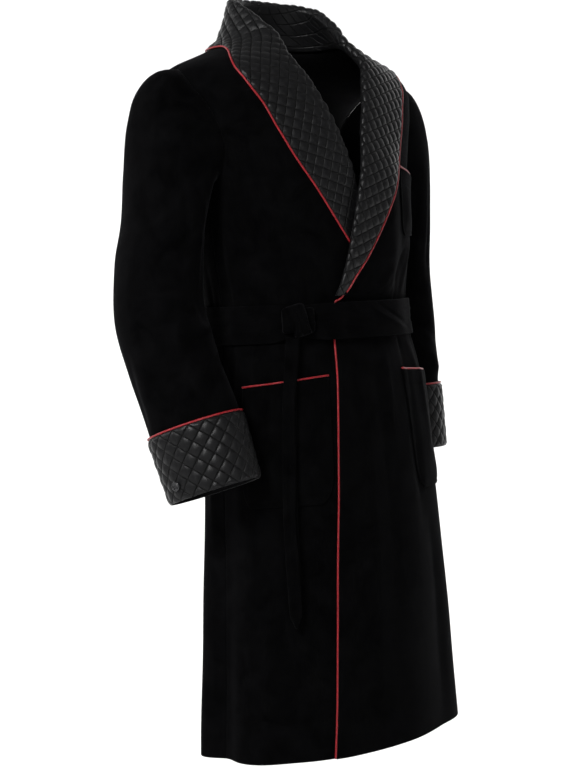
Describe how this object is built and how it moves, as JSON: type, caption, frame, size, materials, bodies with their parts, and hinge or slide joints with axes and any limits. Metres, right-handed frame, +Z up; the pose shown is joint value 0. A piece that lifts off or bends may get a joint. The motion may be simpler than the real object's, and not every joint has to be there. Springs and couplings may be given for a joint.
{
  "type": "smoking jacket",
  "caption": "Long belted velvet smoking jacket in its worn hollow shape, with quilted satin shawl collar and cuffs, contrast piping and patch pockets.",
  "frame": {"origin": "midway between the two points where neck meets shoulder, at shoulder level", "axes": "+Z up, -Y is the front of the jacket, +X is the wearer's left"},
  "size_m": [0.6591, 0.3116, 1.1656],
  "materials": {
    "velvet": "black cotton velvet with a short upright nap",
    "quilted_satin": "black satin, diamond quilted",
    "piping": "red satin piping over cord",
    "button": "polished black"
  },
  "bodies": {
    "root": {"back": "velvet", "front_right": "velvet", "front_left": "velvet", "sleeve_right": "velvet", "sleeve_left": "velvet", "pocket_hip_right": "velvet", "pocket_hip_left": "velvet", "pocket_breast": "velvet", "belt_band": "velvet", "belt_knot": "velvet", "belt_end_long": "velvet", "belt_end_short": "velvet", "collar_right": "quilted_satin", "collar_left": "quilted_satin", "cuff_right": "quilted_satin", "cuff_left": "quilted_satin", "piping_collar_right": "piping", "piping_collar_left": "piping", "piping_cuff_right": "piping", "piping_cuff_left": "piping", "piping_pocket_hip_right": "piping", "piping_pocket_hip_left": "piping", "piping_pocket_breast": "piping", "piping_front_edge": "piping", "button_cuff_right": "button", "button_cuff_left": "button"}
  },
  "joints": []
}
